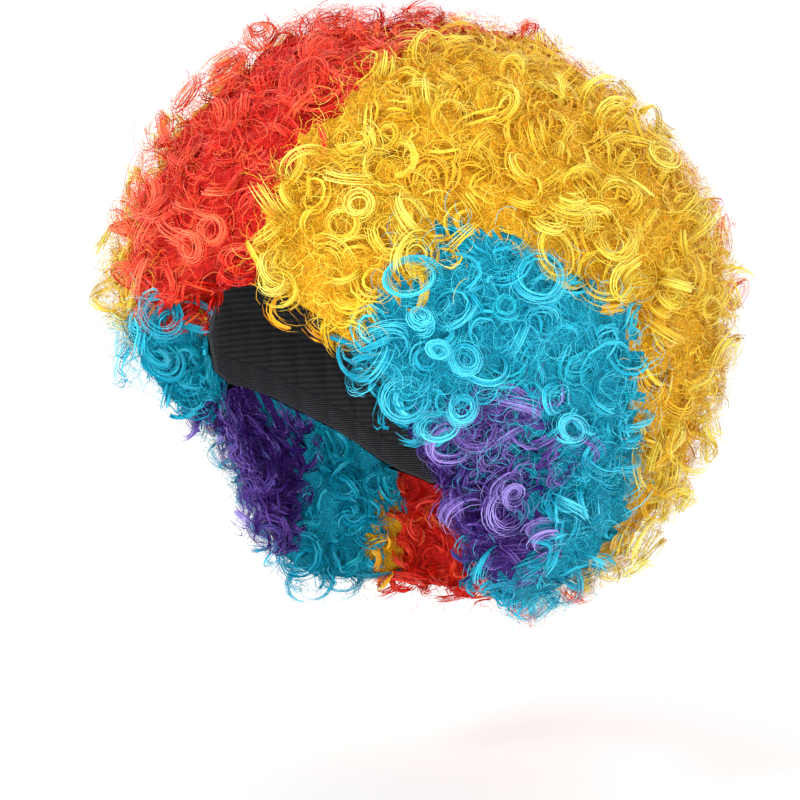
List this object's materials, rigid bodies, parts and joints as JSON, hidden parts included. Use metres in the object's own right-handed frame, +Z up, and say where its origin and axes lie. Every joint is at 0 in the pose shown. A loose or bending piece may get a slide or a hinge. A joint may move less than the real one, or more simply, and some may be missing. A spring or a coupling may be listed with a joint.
{
  "type": "clown wig",
  "caption": "Large round afro wig of springy synthetic curls in rainbow sections, sewn to a stretch cap with an elastic edge band and open at the face and neck, in its worn shape.",
  "frame": {"origin": "inside of the cap at the crown, the point that sits on the top of the wearer's head", "axes": "+Z up; the wearer faces -Y, with the wearer's left side towards +X"},
  "size_m": [0.3675, 0.3687, 0.3499],
  "materials": {
    "cap": "matte stretch net",
    "edge_band": "ribbed woven elastic",
    "red_hair": "glossy synthetic fibre",
    "yellow_hair": "glossy synthetic fibre",
    "blue_hair": "glossy synthetic fibre",
    "purple_hair": "glossy synthetic fibre"
  },
  "bodies": {
    "root": {"cap": "cap", "edge_band": "edge_band", "hair_red": "red_hair", "hair_yellow_left": "yellow_hair", "hair_yellow_right": "yellow_hair", "hair_blue_left": "blue_hair", "hair_blue_right": "blue_hair", "hair_purple_left": "purple_hair", "hair_purple_right": "purple_hair"}
  },
  "joints": []
}
